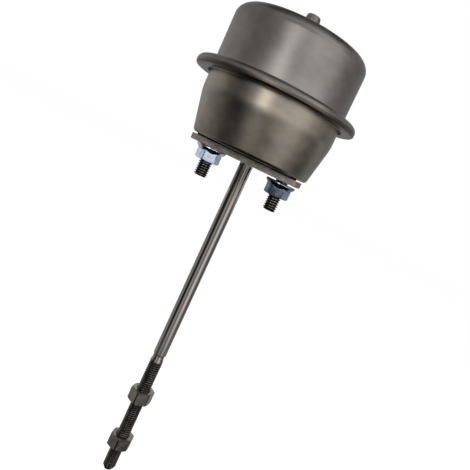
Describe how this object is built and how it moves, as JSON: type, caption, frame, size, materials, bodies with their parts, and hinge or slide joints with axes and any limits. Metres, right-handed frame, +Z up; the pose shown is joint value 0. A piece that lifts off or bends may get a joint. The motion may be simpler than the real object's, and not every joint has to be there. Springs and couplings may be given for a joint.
{
  "type": "wastegate actuator",
  "caption": "Crimped steel diaphragm can with a polished push rod, threaded end with adjusting nuts, and a studded mounting plate.",
  "frame": {"origin": "On the push rod's axis, at the underside of the mounting plate, where the actuator seats on its bracket.", "axes": "+Z runs up the axis from the rod through the can to the pressure spigot; the two mounting studs stand on the X axis; +Y points away from the side that faces a viewer who has the studs left and right."},
  "size_m": [0.0964, 0.0964, 0.2966],
  "materials": {
    "housing_steel": "dull satin, brown-grey",
    "plate_steel": "sawn and brushed",
    "gasket_rubber": "matt",
    "thread_steel": "oiled black",
    "zinc_steel": "bright zinc",
    "bush_bronze": "sintered, oiled",
    "seal_rubber": "matt, fabric backed",
    "spring_steel": "drawn wire",
    "piston_aluminium": "pressed, plain",
    "rod_steel": "ground and polished",
    "nut_steel": "plain, dull"
  },
  "bodies": {
    "can": {"upper_housing": "housing_steel", "lower_housing": "housing_steel", "pressure_spigot": "housing_steel", "mounting_plate": "plate_steel", "plate_gasket": "gasket_rubber", "stud_plate": "plate_steel", "stud_left": "thread_steel", "stud_right": "thread_steel", "flange_nut_left": "zinc_steel", "flange_nut_right": "zinc_steel", "guide_bush": "bush_bronze", "rod_seal": "seal_rubber", "seal_retainer": "plate_steel", "stop_sleeve": "plate_steel", "spring_seat": "plate_steel", "spring": "spring_steel", "diaphragm": "seal_rubber"},
    "rod": {"push_rod": "rod_steel", "piston": "piston_aluminium", "piston_washer": "plate_steel", "cover_plate": "piston_aluminium"},
    "upper_nut": {"rod_nut_upper": "nut_steel"},
    "lower_nut": {"rod_nut_lower": "nut_steel"}
  },
  "joints": [
    {"name": "rod_stroke", "type": "slide", "parent": "can", "child": "rod", "axis": [0, 0, -1], "range_m": [0, 0.02], "stiffness_N_per_m": 6000, "springref_m": -0.025, "deforming": ["spring", "diaphragm"]},
    {"name": "upper_nut_adjust", "type": "slide", "parent": "rod", "child": "upper_nut", "axis": [0, 0, 1], "range_m": [-0.01, 0.018]},
    {"name": "lower_nut_adjust", "type": "slide", "parent": "rod", "child": "lower_nut", "axis": [0, 0, 1], "range_m": [-0.012, 0.01]}
  ]
}
